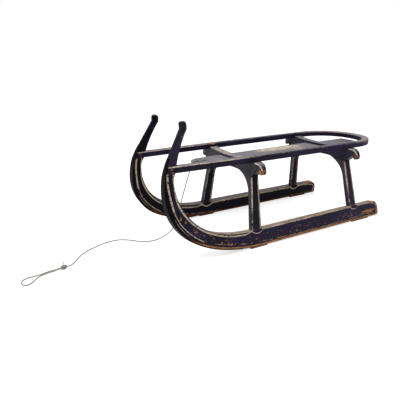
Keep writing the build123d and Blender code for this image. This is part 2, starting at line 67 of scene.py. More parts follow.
class Shader:
    """A material's node tree, with short calls for the nodes that the finishes share."""

    def __init__(self, name):
        self.material = bpy.data.materials.new(name)
        self.material.use_nodes = True
        self.tree = self.material.node_tree
        self.bsdf = self.tree.nodes["Principled BSDF"]
        self.place = self.node("ShaderNodeTexCoord").outputs["Object"]
        self.x, self.y, self.z = self.split(self.place)
        self.normal = self.node("ShaderNodeNewGeometry").outputs["True Normal"]
        self.nx, self.ny, self.nz = self.split(self.normal)

    def node(self, kind, **settings):
        made = self.tree.nodes.new(kind)
        for key, value in settings.items():
            setattr(made, key, value)
        return made

    def put(self, socket, value):
        """Link a socket to another, or set it to a constant."""
        if isinstance(value, bpy.types.NodeSocket):
            self.tree.links.new(value, socket)
        else:
            socket.default_value = value

    def split(self, vector):
        made = self.node("ShaderNodeSeparateXYZ")
        self.put(made.inputs[0], vector)
        return made.outputs[0], made.outputs[1], made.outputs[2]

    def math(self, operation, first, second=0.0):
        made = self.node("ShaderNodeMath", operation=operation)
        self.put(made.inputs[0], first)
        self.put(made.inputs[1], second)
        return made.outputs[0]

    def combined(self, operation, values):
        total = values[0]
        for value in values[1:]:
            total = self.math(operation, total, value)
        return total

    def times(self, *values):
        return self.combined("MULTIPLY", values)

    def most(self, *values):
        return self.combined("MAXIMUM", values)

    def sum(self, *values):
        return self.combined("ADD", values)

    def dot(self, vector, axis):
        made = self.node("ShaderNodeVectorMath", operation="DOT_PRODUCT")
        self.put(made.inputs[0], vector)
        made.inputs[1].default_value = axis
        return made.outputs["Value"]

    def ease(self, value, low, high, start=0.0, end=1.0):
        """A smooth change from start to end as a value goes from low to high."""
        made = self.node("ShaderNodeMapRange", interpolation_type="SMOOTHSTEP")
        for socket, number in zip(list(made.inputs)[:5], (value, low, high, start, end)):
            self.put(socket, number)
        return made.outputs[0]

    def band(self, value, low, high, soft):
        """1 while a value is between two others, with soft limits."""
        rise = self.ease(value, low - soft, low + soft)
        return self.times(rise, self.ease(value, high - soft, high + soft, 1.0, 0.0))

    def plan(self, across, up):
        made = self.node("ShaderNodeCombineXYZ")
        self.put(made.inputs[0], across)
        self.put(made.inputs[1], up)
        return made.outputs[0]

    def reach(self, plan, centre):
        """Distance from a point in a plan."""
        made = self.node("ShaderNodeVectorMath", operation="DISTANCE")
        self.put(made.inputs[0], plan)
        made.inputs[1].default_value = (*centre, 0)
        return made.outputs["Value"]

    def past(self, plan, at, degrees):
        """1 beyond a line across a heading, through a point in a plan."""
        heading = (math.cos(math.radians(degrees)), math.sin(math.radians(degrees)), 0)
        start = at[0] * heading[0] + at[1] * heading[1]
        return self.math("GREATER_THAN", self.dot(plan, heading), start)

    def line(self, offset, centre, half_width):
        """1 on a line with slightly soft edges."""
        away = self.math("ABSOLUTE", self.math("SUBTRACT", offset, centre))
        return self.ease(self.math("DIVIDE", away, half_width), 1.2, 0.8)

    def spot(self, centre, reach):
        """Distance from a point, where 1 is the surface of an ellipsoid."""
        moved = self.node("ShaderNodeMapping", vector_type="POINT")
        self.put(moved.inputs["Vector"], self.place)
        moved.inputs["Scale"].default_value = [1 / r for r in reach]
        moved.inputs["Location"].default_value = [-c / r for c, r in zip(centre, reach)]
        length = self.node("ShaderNodeVectorMath", operation="LENGTH")
        self.put(length.inputs[0], moved.outputs[0])
        return length.outputs["Value"]

    def noise(self, scale, detail, stretch=(1, 1, 1), shift=0.0):
        moved = self.node("ShaderNodeMapping", vector_type="POINT")
        self.put(moved.inputs["Vector"], self.place)
        moved.inputs["Scale"].default_value = stretch
        moved.inputs["Location"].default_value = (shift, shift * 0.7, -shift)
        made = self.node("ShaderNodeTexNoise")
        self.put(made.inputs["Vector"], moved.outputs[0])
        made.inputs["Scale"].default_value = scale
        made.inputs["Detail"].default_value = detail
        made.inputs["Roughness"].default_value = 0.55
        return made.outputs["Fac"]

    def mix(self, share, first, second):
        """A blend of two colours."""
        made = self.node("ShaderNodeMix", data_type="RGBA")
        self.put(made.inputs[0], share)
        for socket, value in ((made.inputs[6], first), (made.inputs[7], second)):
            self.put(socket, value if isinstance(value, bpy.types.NodeSocket) else (*value, 1.0))
        return made.outputs[2]

    def blend(self, share, first, second):
        """A blend of two numbers."""
        made = self.node("ShaderNodeMix", data_type="FLOAT")
        self.put(made.inputs[0], share)
        self.put(made.inputs[2], first)
        self.put(made.inputs[3], second)
        return made.outputs[0]

    def finish(self, colour, roughness, shine=None):
        self.put(self.bsdf.inputs["Base Color"], colour)
        self.put(self.bsdf.inputs["Roughness"], roughness)
        if shine is not None:
            self.put(self.bsdf.inputs["Specular IOR Level"], shine)

    def bump(self, height, strength, distance):
        made = self.node("ShaderNodeBump")
        made.inputs["Strength"].default_value = strength
        made.inputs["Distance"].default_value = distance
        self.put(made.inputs["Height"], height)
        self.put(self.bsdf.inputs["Normal"], made.outputs[0])

    def on(self, *names):
        for name in names:
            nodes[name].data.materials.clear()
            nodes[name].data.materials.append(self.material)


# Colours of the finishes, as linear values
navy = (0.0060, 0.0054, 0.0135)
navy_pale = (0.0170, 0.0114, 0.0420)
# Paint in painted shade, for faces that turn inward
navy_in_shade = (0.0022, 0.0019, 0.0042)
# Grey of dust and painted sheen on faces that turn up or to the front
dust_and_sheen_grey = (0.190, 0.176, 0.192)
cream = (0.56, 0.47, 0.34)
cream_grimy = (0.27, 0.20, 0.135)
wood_pale = (0.46, 0.215, 0.085)
wood_dark = (0.13, 0.046, 0.020)
# Bare wood in painted shade
wood_in_shade = (0.085, 0.019, 0.009)
grime = (0.012, 0.008, 0.007)
iron_dark = (0.0028, 0.0018, 0.0020)
iron_pale = (0.0095, 0.0062, 0.0068)
rust_brown = (0.030, 0.011, 0.006)
pad_dark = (0.030, 0.010, 0.007)
pad_pale = (0.13, 0.042, 0.022)

# How strongly each finish mirrors what is round it
paint_shine = 0.11
# Duller shine where there is painted shade
shade_shine = 0.03
iron_shine = 0.025

# Limits in the finishes are metres for places, shares of 1 for the way a face points, and levels for noise


def painted(shader, edging, bare, dust_and_sheen, along, painted_shade=None):
    """Dark paint over wood: cream lining, bare worn wood, and dust with painted sheen, each where its mask is
    1.

    The grain is drawn out along the axis that has the smallest number in along. In the runners the lining
    mask also carries a painted glint. Faces where painted_shade is 1 are deeper in colour and duller: painted
    shade.
    """
    broad = shader.noise(9, 4)
    fine = shader.noise(170, 4, shift=3.1)
    streak = shader.noise(26, 5, along, 1.7)
    grain = shader.noise(70, 6, along, 5.3)
    dust_sheen_film = shader.times(dust_and_sheen, shader.ease(streak, 0.22, 0.62, 0.5, 1.0))
    kept = shader.times(edging, shader.ease(fine, 0.34, 0.44))
    paint = shader.mix(shader.ease(broad, 0.34, 0.64), navy, navy_pale)
    line = shader.mix(shader.ease(streak, 0.33, 0.60), cream_grimy, cream)
    wood = shader.mix(shader.ease(grain, 0.34, 0.64), wood_dark, wood_pale)
    shine = paint_shine
    if painted_shade is not None:
        paint = shader.mix(painted_shade, paint, navy_in_shade)
        wood = shader.mix(painted_shade, wood, wood_in_shade)
        shine = shader.blend(painted_shade, paint_shine, shade_shine)
    colour = shader.mix(dust_sheen_film, paint, dust_and_sheen_grey)
    colour = shader.mix(kept, colour, line)
    colour = shader.mix(bare, colour, wood)
    rough = shader.ease(broad, 0.3, 0.7, 0.34, 0.48)
    rough = shader.blend(shader.most(dust_sheen_film, kept), rough, 0.58)
    rough = shader.blend(bare, rough, 0.74)
    shader.finish(colour, rough, shine)
    worn = shader.times(bare, shader.ease(grain, 0.3, 0.7, 0.2, 0.6))
    height = shader.math("SUBTRACT", shader.ease(grain, 0.2, 0.8, 0.0, 0.35), worn)
    shader.bump(height, 0.35, 0.0006)


# Runners, in the plane that each leans in: x forward and v up, in metres
lean = math.radians(10)
half_track = 0.188
rail_level = 0.302
sole_level = 0.0019

# Rounded rear end, and the scallops at the legs' feet with their middles and half widths
end_middle = (-0.424, 0.034)
end_round = 0.030
scallops = ((0.162, 0.025), (-0.316, 0.023))
scallop_depth = 0.011

# Arcs of the back edge, by centre and radius; the tight one takes over at a point and a heading in degrees
wide_arc = ((0.1894, 0.501), 0.437)
tight_arc = ((0.2630, 0.2690), 0.1936)
tight_from = ((0.3215, 0.0845), 17.6)

# Arcs of the front edge: centre, radius, the point where it begins, and its heading there in degrees
front_arcs = (
    ((0.145, 0.6429), 0.641, (0.145, sole_level), 0),
    ((0.2260, 0.3531), 0.340, (0.3174, 0.0256), 15.6),
    ((0.3016, 0.2258), 0.192, (0.3996, 0.0607), 30.7),
    ((0.2315, 0.2257), 0.262, (0.4935, 0.2257), 90),
)

# Chips knocked out of each runner's outer face, by place and size, and a scar on the horn
chips = (
    ((0.448, 0.155), 0.0058), ((0.434, 0.143), 0.0052), ((0.401, 0.104), 0.0056), ((0.373, 0.085), 0.0046),
    ((0.351, 0.083), 0.0036), ((0.309, 0.046), 0.0044), ((0.269, 0.055), 0.0044), ((0.282, 0.038), 0.0040),
    ((0.197, 0.043), 0.0038), ((0.171, 0.032), 0.0044), ((0.018, 0.026), 0.0046), ((-0.013, 0.025), 0.0056),
)
scar_at = (0.408, 0.409)

# Bare patch by the rear end: middle on the left runner, and reach
rub_at = (-0.398, 0.198, 0.029)
rub_reach = (0.045, 0.05, 0.0085)


class RunnerShader(Shader):
    """A runner's finish, with places measured in the plane that the runner leans in."""

    def __init__(self, name, side):
        super().__init__(name)
        outward = (0, side * math.cos(lean), math.sin(lean))
        upward = (0, -side * math.sin(lean), math.cos(lean))
        self.flank = self.dot(self.normal, outward)
        self.up = self.dot(self.normal, upward)
        self.v = self.sum(self.dot(self.place, upward), half_track * math.sin(lean))
        self.spread = self.plan(self.x, self.v)
        self.back = self.back_depth()
        self.front = self.front_depth()
        self.inside = self.ease(self.flank, -0.3, -0.6)
        self.outside = self.ease(self.flank, 0.4, 0.9)
        self.broken = self.ease(self.noise(75, 3, (1, 2, 2), 9.4), 0.44, 0.54)

    def back_depth(self):
        """Depth inside the upper and back edge, less the scallops at the legs' feet."""
        behind = self.most(self.math("SUBTRACT", end_middle[0], self.x), 0.0)
        above = self.most(self.sum(self.v, -end_middle[1]), 0.0)
        flat = self.math("SUBTRACT", end_round, self.reach(self.plan(behind, above), (0, 0)))
        wide, tight = [self.sum(self.reach(self.spread, centre), -radius)
                       for centre, radius in (wide_arc, tight_arc)]
        bend = self.blend(self.past(self.spread, *tight_from), wide, tight)
        bend_start = wide_arc[0][0]
        depth = self.blend(self.math("GREATER_THAN", self.x, bend_start), flat, bend)
        for foot, half in scallops:
            along = self.times(self.sum(self.x, -foot), 1 / half)
            hollow = self.most(self.math("SUBTRACT", 1.0, self.times(along, along)), 0.0)
            depth = self.math("SUBTRACT", depth, self.times(hollow, scallop_depth))
        return depth

    def front_depth(self):
        """Depth inside the sole and front edge, from the shoe's face."""
        depth = self.sum(self.v, -sole_level)
        for centre, radius, start, degrees in front_arcs:
            bend = self.math("SUBTRACT", radius, self.reach(self.spread, centre))
            depth = self.blend(self.past(self.spread, start, degrees), depth, bend)
        return depth


def runner_paint(side):
    """Lining that follows a runner's two edges, bare wood along its sole, and chips between them."""
    side_name = "left" if side > 0 else "right"
    shader = RunnerShader("runner_paint_" + side_name, side)
    x, v, up, back, front = shader.x, shader.v, shader.up, shader.back, shader.front
    inside, outside, broken = shader.inside, shader.outside, shader.broken
    wobble = shader.times(shader.sum(shader.noise(16, 2, shift=6.1), -0.5), 0.003)

    # Line along the back edge: deeper down the bend and round the rear end, nearer the edge on the flat
    flat = shader.ease(x, 0.215, 0.185)
    flat_inside = shader.times(inside, flat)
    back_middle = shader.sum(
        0.0015, shader.ease(v, 0.265, 0.195, 0.0, 0.0055), shader.ease(x, 0.36, 0.29, 0.0, 0.003),
        shader.times(flat, -0.007), wobble, shader.ease(x, -0.395, -0.430, 0.0, 0.006),
        shader.times(flat_inside, 0.0010))
    back_half = shader.sum(shader.ease(x, 0.19, 0.24, 0.0016, 0.0027), shader.times(flat_inside, 0.0016))
    worn_off = shader.ease(broken, 0.0, 0.6, 0.55, 1.0)
    back_line = shader.times(shader.line(back, back_middle, back_half),
                             shader.most(shader.ease(x, 0.13, 0.20), inside, worn_off))

    # Line along the bend's front, dashes above the sole, and a thin painted glint in cream beside the shoe
    front_middle = shader.sum(shader.ease(v, 0.20, 0.31, 0.0195, 0.0065),
                              shader.ease(v, 0.10, 0.06, 0.0, -0.003), wobble)
    front_half = shader.ease(v, 0.160, 0.185, 0.0013, 0.0029)
    front_line = shader.times(shader.line(front, front_middle, front_half), shader.ease(x, 0.368, 0.385))
    dash_middle = shader.sum(shader.ease(x, -0.02, 0.22, 0.0115, 0.0175),
                             shader.ease(x, -0.15, -0.32, 0.0, 0.004), wobble)
    dashes = shader.times(shader.line(front, dash_middle, 0.0008), broken, shader.ease(x, 0.345, 0.325), 0.75)
    painted_glint = shader.times(shader.line(front, 0.0112, 0.0007), shader.band(v, 0.095, 0.150, 0.015), 0.8)
    face = shader.ease(shader.math("ABSOLUTE", shader.flank), 0.55, 0.7)
    below_rail = shader.ease(v, rail_level + 0.002, rail_level - 0.002)
    edging = shader.times(shader.most(back_line, front_line, dashes, painted_glint), below_rail, face)

    # Rubbed top of the flat, which is darker on the right
    top_share = 1.0 if side > 0 else 0.2
    top = shader.times(shader.ease(up, 0.55, 0.75), shader.ease(v, 0.045, 0.055), shader.ease(v, 0.12, 0.085),
                       top_share)
    top_cream = shader.ease(shader.noise(22, 4, (1, 6, 6), 7.9), 0.36, 0.56, 0.15, 0.75)
    edging = shader.most(edging, shader.times(top, top_cream))
    scuffed = shader.times(top, shader.ease(shader.noise(30, 5, (1, 5, 5), 4.4), 0.50, 0.62, 0.05, 0.6))

    # Bare wood along the sole, which reaches higher inside
    patch = shader.noise(34, 4, (1, 2, 2), 2.3)
    shod = shader.ease(x, 0.19, 0.23)
    sole_depth = shader.sum(0.0092, shader.times(shod, -0.0006), shader.times(inside, 0.005))
    sole = shader.ease(front, shader.sum(sole_depth, 0.0012), shader.sum(sole_depth, -0.0008))
    sole = shader.times(sole, shader.ease(patch, 0.24, 0.36), shader.ease(x, 0.435, 0.40),
                        shader.ease(v, 0.11, 0.09))

    # Flecks, chips and a nick in the front line
    chip = shader.noise(105, 4, (1, 1.5, 1.5), 8.2)
    chipped = shader.times(shader.band(front, 0.010, 0.040, 0.008), shader.ease(v, 0.135, 0.10))
    flecks = shader.times(shader.ease(chip, 0.600, 0.630), shader.ease(patch, 0.42, 0.54), chipped, outside)
    nick = shader.times(shader.ease(front_line, 0.3, 0.6), shader.band(v, 0.163, 0.181, 0.003),
                        shader.ease(chip, 0.36, 0.5))
    ragged = shader.times(shader.sum(shader.noise(210, 3, (1, 1.5, 1.5), 1.9), -0.42), 0.026)
    knocks = 0.0
    for at, size in chips:
        away = shader.sum(shader.reach(shader.spread, at), ragged)
        knocks = shader.most(knocks, shader.ease(away, size + 0.0004, size - 0.0008))
    knocks = shader.times(knocks, outside, 0.9)
    scar = shader.times(shader.ease(shader.reach(shader.spread, scar_at), 0.013, 0.004, 0.0, 0.5), broken)

    # Wear of the rear end: a rubbed patch, the rim outside the line, and the end grain
    rub = shader.ease(shader.spot((rub_at[0], side * rub_at[1], rub_at[2]), rub_reach), 1.15, 0.75)
    rub = shader.times(rub, shader.ease(shader.noise(60, 4, (1, 3, 3), 3.3), 0.40, 0.50),
                       shader.ease(shader.flank, 0.9, 0.97))
    rim_depth = shader.ease(x, -0.395, -0.430, 0.0030, 0.0072)
    rim = shader.times(shader.ease(back, shader.sum(rim_depth, 0.0012), shader.sum(rim_depth, -0.0012)),
                       shader.ease(x, -0.375, -0.42), shader.ease(patch, 0.30, 0.42))
    end = shader.times(shader.ease(shader.nx, -0.3, -0.7), shader.ease(x, -0.40, -0.44),
                       shader.ease(patch, 0.36, 0.5))

    # Dust and painted sheen on upper faces and a little on the horns
    horn = shader.times(shader.ease(v, rail_level, rail_level + 0.004, 0.0, 0.07),
                        shader.ease(shader.flank, -0.2, 0.4, 0.2, 1.0))
    dust_and_sheen = shader.most(shader.times(top, 0.8), horn, shader.ease(up, 0.5, 0.9, 0.0, 0.25))
    # Painted shade on inner faces, and the strip before the front line darkened by the same mask
    strip = shader.times(shader.ease(front, front_middle, shader.sum(front_middle, -0.003)),
                         shader.ease(x, 0.36, 0.40), 0.75)
    painted_shade = shader.most(shader.times(inside, 0.9), strip)
    bare = shader.most(sole, flecks, nick, rub, scuffed, end, rim, knocks, scar)
    painted(shader, edging, bare, dust_and_sheen, (1, 9, 9), painted_shade)
    shader.on("runner_" + side_name)


def shoe_iron():
    """Dark iron strip, rusted in patches."""
    shader = Shader("shoe_iron")
    scale = shader.noise(60, 5, shift=1.3)
    rust = shader.noise(18, 5, shift=4.7)
    colour = shader.mix(shader.ease(scale, 0.35, 0.65), iron_dark, iron_pale)
    colour = shader.mix(shader.ease(rust, 0.54, 0.72, 0.0, 0.7), colour, rust_brown)
    shader.finish(colour, shader.ease(scale, 0.3, 0.7, 0.42, 0.62), iron_shine)
    shader.bump(scale, 0.3, 0.0004)
    shader.on("shoe_left", "shoe_right")
    return shader


# Legs: height of the foot, length up to the bunk, and each edge's x at the foot and its change up the leg
leg_foot = 0.063
leg_rise = 0.184
rear_lead = (-0.297, 0.021)
fore_lead = (0.183, -0.017)
rear_trail = (-0.335, 0.027)
fore_trail = (0.141, -0.007)


def leg_paint():
    """Lining along both edges of a leg's broad faces, broken towards its foot."""
    shader = Shader("leg_paint")
    x, z = shader.x, shader.z
    share = shader.times(shader.sum(z, -leg_foot), 1 / leg_rise)
    fore = shader.math("GREATER_THAN", x, -0.05)
    lead, trail = [shader.blend(fore, shader.sum(rear[0], shader.times(share, rear[1])),
                                shader.sum(front[0], shader.times(share, front[1])))
                   for rear, front in ((rear_lead, fore_lead), (rear_trail, fore_trail))]
    dashes = shader.ease(shader.noise(85, 2, (1, 1, 0.6), 6.6), 0.42, 0.50)
    broken = shader.most(dashes, shader.ease(z, 0.09, 0.15))
    lead_half = shader.times(shader.ease(z, 0.10, 0.20, 0.0018, 0.0026), shader.ease(x, -0.1, 0.0, 1.35, 1.0))
    lead_line = shader.times(shader.line(shader.math("SUBTRACT", lead, x), 0.0034, lead_half), broken)
    trail_line = shader.times(shader.line(shader.math("SUBTRACT", x, trail), 0.0046, 0.0024),
                              shader.ease(dashes, 0.0, 1.0, 0.5, 0.85))
    broad = shader.ease(shader.math("ABSOLUTE", shader.nx), 0.9, 0.8)
    edging = shader.times(shader.most(lead_line, trail_line), broad, shader.ease(z, 0.246, 0.240))
    worn = shader.noise(60, 4, (1, 1, 0.5), 2.2)
    foot = shader.times(shader.ease(z, 0.076, 0.062), shader.ease(worn, 0.50, 0.62), 0.45)
    tired = shader.times(lead_line, broad, shader.ease(worn, 0.52, 0.60), shader.ease(x, -0.1, -0.2))
    # Front faces lighter up the leg as dust and painted light; faces that turn inward get painted shade
    dust_and_sheen = shader.times(shader.ease(shader.nx, 0.85, 0.97), shader.ease(z, 0.07, 0.24, 0.06, 0.24))
    painted_shade = shader.ease(shader.times(shader.y, shader.ny), -0.02, -0.08, 0.0, 0.7)
    painted(shader, edging, shader.most(foot, tired), dust_and_sheen, (8, 8, 1), painted_shade)
    shader.on("leg_front_left", "leg_front_right", "leg_rear_left", "leg_rear_right")


def bunk_paint():
    """Rubbed tops with dust and painted sheen, front faces lightened as painted light, and scrolls with lined
    edges and bare tips.
    """
    shader = Shader("bunk_paint")
    z = shader.z
    side = shader.math("ABSOLUTE", shader.y)
    fore = shader.ease(shader.x, -0.1, 0.0)
    fore_more = shader.ease(fore, 0.0, 1.0, 0.35, 1.0)
    worn = shader.noise(45, 4, shift=3.7)
    corner = shader.band(shader.math("ABSOLUTE", shader.nx), 0.35, 0.93, 0.02)
    scroll = shader.times(corner, shader.ease(side, 0.166, 0.170), shader.ease(z, 0.272, 0.280))
    tip = shader.times(shader.ease(z, 0.281, 0.273), shader.ease(side, 0.186, 0.190),
                       shader.ease(worn, 0.34, 0.50), fore_more, shader.ease(shader.y, -0.1, 0.1, 0.2, 1.0))
    upper = shader.ease(shader.nz, 0.6, 0.95)
    rubbed = shader.times(upper, shader.ease(side, 0.150, 0.140), shader.ease(worn, 0.38, 0.52), fore, 0.42)
    # Front faces lightened, most on the front bunk and towards the ends: painted light from the front
    face = shader.ease(shader.nx, 0.85, 0.97)
    lit_front_faces = shader.times(face, shader.ease(side, 0.04, 0.15, 0.06, 0.13), fore_more)
    dust_and_sheen = shader.most(shader.times(upper, 0.75), lit_front_faces)
    painted(shader, shader.most(scroll, rubbed), tip, dust_and_sheen, (8, 1, 8))
    shader.on("bunk_front", "bunk_rear")


# Bare spots on the hoop, by middle and reach: two at each horn, and one where the right rail is nailed down
hoop_spots = (
    ((0.460, 0, 0.310), (0.0045, 1, 0.003)),
    ((0.459, 0, 0.300), (0.006, 1, 0.002)),
    ((0.150, -0.145, 0.316), (0.012, 0.02, 0.005)),
)
hoop_middle = -0.25


def hoop_paint():
    """Grey top of dust and painted sheen, rubbed towards the rear, lined upper edges that wear out towards
    the rear, and bare spots at the joints.
    """
    shader = Shader("hoop_paint")
    x, nz = shader.x, shader.nz
    rear = shader.ease(x, -0.28, -0.42)
    patch = shader.noise(38, 4, (1, 1, 2), 7.4)
    bevel = shader.times(shader.band(nz, 0.35, 0.93, 0.03), shader.ease(shader.z, 0.3145, 0.3152))
    outward = shader.sum(shader.times(shader.nx, shader.sum(x, -hoop_middle)),
                         shader.times(shader.ny, shader.y))
    outer = shader.ease(outward, 0.0, 0.02, 0.9, 1.0)
    lasting = shader.most(shader.ease(x, 0.10, 0.26), shader.ease(patch, 0.54, 0.66, 0.0, 0.5))
    rubbed = shader.times(shader.ease(nz, 0.5, 0.9), rear, shader.ease(patch, 0.3, 0.6, 0.12, 0.36))
    edging = shader.most(shader.times(bevel, outer, lasting), rubbed)
    joints = 0.0
    for centre, reach in hoop_spots:
        joints = shader.most(joints, shader.ease(shader.spot(centre, reach), 1.2, 0.7))
    faint = shader.most(shader.ease(x, 0.30, 0.20), shader.ease(shader.y, -0.1, 0.1, 0.3, 0.6))
    joints = shader.times(joints, shader.ease(patch, 0.30, 0.42), faint)
    specks = shader.times(shader.ease(shader.noise(160, 2, shift=5.5), 0.72, 0.75), 0.5)
    # Dust and painted sheen on the upper faces, stronger towards the front and round the rear bend
    dust_sheen_film = shader.sum(0.48, shader.ease(x, -0.10, 0.25, 0.0, 0.34), shader.times(rear, 0.46))
    dust_and_sheen = shader.most(shader.times(shader.ease(nz, 0.7, 0.98), dust_sheen_film),
                        shader.times(shader.ease(nz, 0.2, 0.6), rear, 0.7))
    painted(shader, edging, shader.most(joints, specks), dust_and_sheen, (1.5, 4, 8))
    shader.on("seat_hoop")


# Pale worn places on the plank, by middle and reach: a long strip, and a smear to the left of its rear end
strip_at = (-0.098, -0.028, 0.287)
strip_reach = (0.118, 0.032, 0.02)
smear_at = (-0.165, 0.020, 0.287)
smear_reach = (0.034, 0.011, 0.02)


def plank_paint():
    """Top grey with dust and painted sheen, and a worn pale strip along its right-hand side."""
    shader = Shader("plank_paint")
    top = shader.ease(shader.nz, 0.9, 0.98)
    patch = shader.noise(32, 5, (1, 2.5, 1), 1.1)
    strip = shader.ease(shader.spot(strip_at, strip_reach), 1.15, 0.75)
    smear = shader.ease(shader.spot(smear_at, smear_reach), 1.15, 0.6)
    worn = shader.times(shader.most(strip, smear), shader.ease(patch, 0.36, 0.48), top)
    rubbed = shader.times(shader.ease(shader.noise(48, 4, (1, 3, 1), 7.7), 0.66, 0.72), top, 0.5)
    # Dust and painted sheen, more on faces that turn up
    dust_and_sheen = shader.ease(shader.nz, 0.5, 0.98, 0.05, 0.82)
    painted(shader, worn, rubbed, dust_and_sheen, (1, 7, 7))
    shader.on("deck_plank")


def pad_wood():
    """Red-brown worn wood with dark stains."""
    shader = Shader("pad_wood")
    grain = shader.noise(60, 6, (1, 9, 9), 2.9)
    stain = shader.noise(40, 3, shift=4.1)
    colour = shader.mix(shader.ease(grain, 0.3, 0.7), pad_dark, pad_pale)
    colour = shader.mix(shader.ease(stain, 0.5, 0.7), colour, grime)
    shader.finish(colour, shader.ease(grain, 0.3, 0.7, 0.6, 0.8))
    shader.bump(grain, 0.4, 0.0006)
    shader.on("pad_front_left", "pad_front_right", "pad_rear_left", "pad_rear_right")


def cord_fibre(name, pale, dark, scale):
    """Pale matt fibre, darker in places: soil, and in the hitch also painted shade."""
    shader = Shader(name)
    fibre = shader.noise(scale, 4, shift=0.9)
    soil_and_shade = shader.noise(22, 3, shift=2.6)
    colour = shader.mix(shader.ease(fibre, 0.3, 0.7), dark, pale)
    colour = shader.mix(shader.ease(soil_and_shade, 0.52, 0.75, 0.0, 0.45), colour, dark)
    shader.finish(colour, 0.85)
    shader.bump(fibre, 0.6, 0.0006)
    return shader


runner_paint(1)
runner_paint(-1)
iron = shoe_iron()
leg_paint()
bunk_paint()
hoop_paint()
plank_paint()
pad_wood()
cord_look = cord_fibre("cord_fibre", (0.36, 0.35, 0.32), (0.19, 0.18, 0.155), 900)
# The hitch's deeper dark tone is painted shade
hitch_look = cord_fibre("hitch_fibre", (0.44, 0.42, 0.37), (0.10, 0.088, 0.072), 500)
knot_look = cord_fibre("knot_fibre", (0.44, 0.40, 0.35), (0.085, 0.066, 0.048), 420)


def guide(name, points):
    """A smooth line along a route's control points."""
    curve = bpy.data.curves.new(name, "CURVE")
    curve.dimensions = "3D"
    curve.resolution_u = 10
    spline = curve.splines.new("NURBS")
    spline.points.add(len(points) - 1)
    for held, point in zip(spline.points, points):
        held.co = (*point, 1)
    spline.order_u = 3
    spline.use_endpoint_u = True
    return curve


def line_points(curve):
    """Points read from a curve, in order."""
    holder = bpy.data.objects.new(curve.name, curve)
    read = bpy.data.meshes.new_from_object(holder)
    points = [vertex.co.copy() for vertex in read.vertices]
    bpy.data.objects.remove(holder)
    bpy.data.meshes.remove(read)
    return points


def piece(name, mesh_points, faces, look, slot):
    """A smooth-shaded mesh piece that rides on the sled."""
    mesh = bpy.data.meshes.new(name)
    mesh.from_pydata(mesh_points, [], faces)
    mesh.polygons.foreach_set("use_smooth", [True] * len(mesh.polygons))
    mesh.materials.append(look.material)
    made = bpy.data.objects.new(name, mesh)
    scene.collection.objects.link(made)
    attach(made, "root")
    return made


# Cord: its thickness and the length of one turn in metres, and the sides of its tube and of the knots' tubes
cord_size = 0.004
cord_pitch = 0.013
cord_sides = 18
knot_sides = 12

# Lay of the cord: its strands, and the depth of the grooves between them as a share of its radius
strands = 3
groove = 0.22


def laid(points, radius, pitch, sides):
    """A three-strand cord along a line, with the grooves between its strands, as vertices and faces."""
    verts, faces = [], []
    last = len(points) - 1
    across = (points[1] - points[0]).orthogonal().normalized()
    travelled = 0.0
    for number, point in enumerate(points):
        tangent = (points[min(number + 1, last)] - points[max(number - 1, 0)]).normalized()
        across = (across - tangent * across.dot(tangent)).normalized()
        over = tangent.cross(across)
        if number:
            travelled += (point - points[number - 1]).length
        for step in range(sides):
            angle = math.tau * step / sides
            lobe = abs(math.cos(strands / 2 * (angle - math.tau * travelled / pitch)))
            out = radius * (1 - groove + groove * math.sqrt(lobe))
            verts.append(point + (across * math.cos(angle) + over * math.sin(angle)) * out)
    for near in range(0, last * sides, sides):
        for step in range(sides):
            following = (step + 1) % sides
            faces.append((near + step, near + following, near + sides + following, near + sides + step))
    faces.append(tuple(reversed(range(sides))))
    faces.append(tuple(range(last * sides, (last + 1) * sides)))
    return verts, faces


def turned(name, route, radius, pitch):
    """A short length of cord along a route, for a knot."""
    return laid(line_points(guide(name, route)), radius, pitch, knot_sides)


def joined(*groups):
    """Several sets of vertices and faces as one."""
    verts, faces = [], []
    for group_verts, group_faces in groups:
        faces += [tuple(index + len(verts) for index in face) for face in group_faces]
        verts += group_verts
    return verts, faces


# Routes of the tow cord and its hand loop, in metres
cord_points = [
    (0.257, 0, 0.275), (0.257, 0, 0.282), (0.2575, 0, 0.2885), (0.261, 0, 0.2895), (0.2835, 0.001, 0.2892),
    (0.303, 0, 0.2894), (0.309, 0, 0.2892), (0.3132, -0.0005, 0.2867), (0.3142, -0.001, 0.279),
    (0.326, -0.006, 0.2421), (0.342, -0.0096, 0.1902), (0.3575, -0.013, 0.138), (0.3725, -0.0167, 0.088),
    (0.386, -0.020, 0.0461), (0.401, -0.023, 0.0289), (0.420, -0.0275, 0.0174), (0.438, -0.032, 0.0091),
    (0.458, -0.036, 0.0039), (0.484, -0.043, 0.0022), (0.510, -0.060, 0.0022), (0.527, -0.0805, 0.0022),
    (0.550, -0.102, 0.0022), (0.574, -0.115, 0.0022), (0.613, -0.115, 0.0022), (0.657, -0.0985, 0.0022),
    (0.700, -0.075, 0.0022), (0.7285, -0.047, 0.0022), (0.748, -0.0165, 0.0022), (0.763, 0.002, 0.0031),
    (0.7739, 0.0084, 0.0042), (0.7827, 0.0102, 0.0042)]
loop_points = [
    (0.79975, 0.0117, 0.0057), (0.8076, 0.0134, 0.0057), (0.820, 0.0115, 0.0038), (0.843, 0.011, 0.0022),
    (0.869, 0.020, 0.0022), (0.893, 0.0185, 0.0022), (0.908, 0.023, 0.0022), (0.918, 0.036, 0.0022),
    (0.919, 0.052, 0.0022), (0.912, 0.064, 0.0022), (0.900, 0.066, 0.0022), (0.889, 0.056, 0.0022),
    (0.879, 0.042, 0.0022), (0.866, 0.028, 0.0022), (0.843, 0.0195, 0.0022), (0.820, 0.0186, 0.0038),
    (0.8067, 0.0175, 0.0057), (0.7989, 0.0158, 0.0057)]

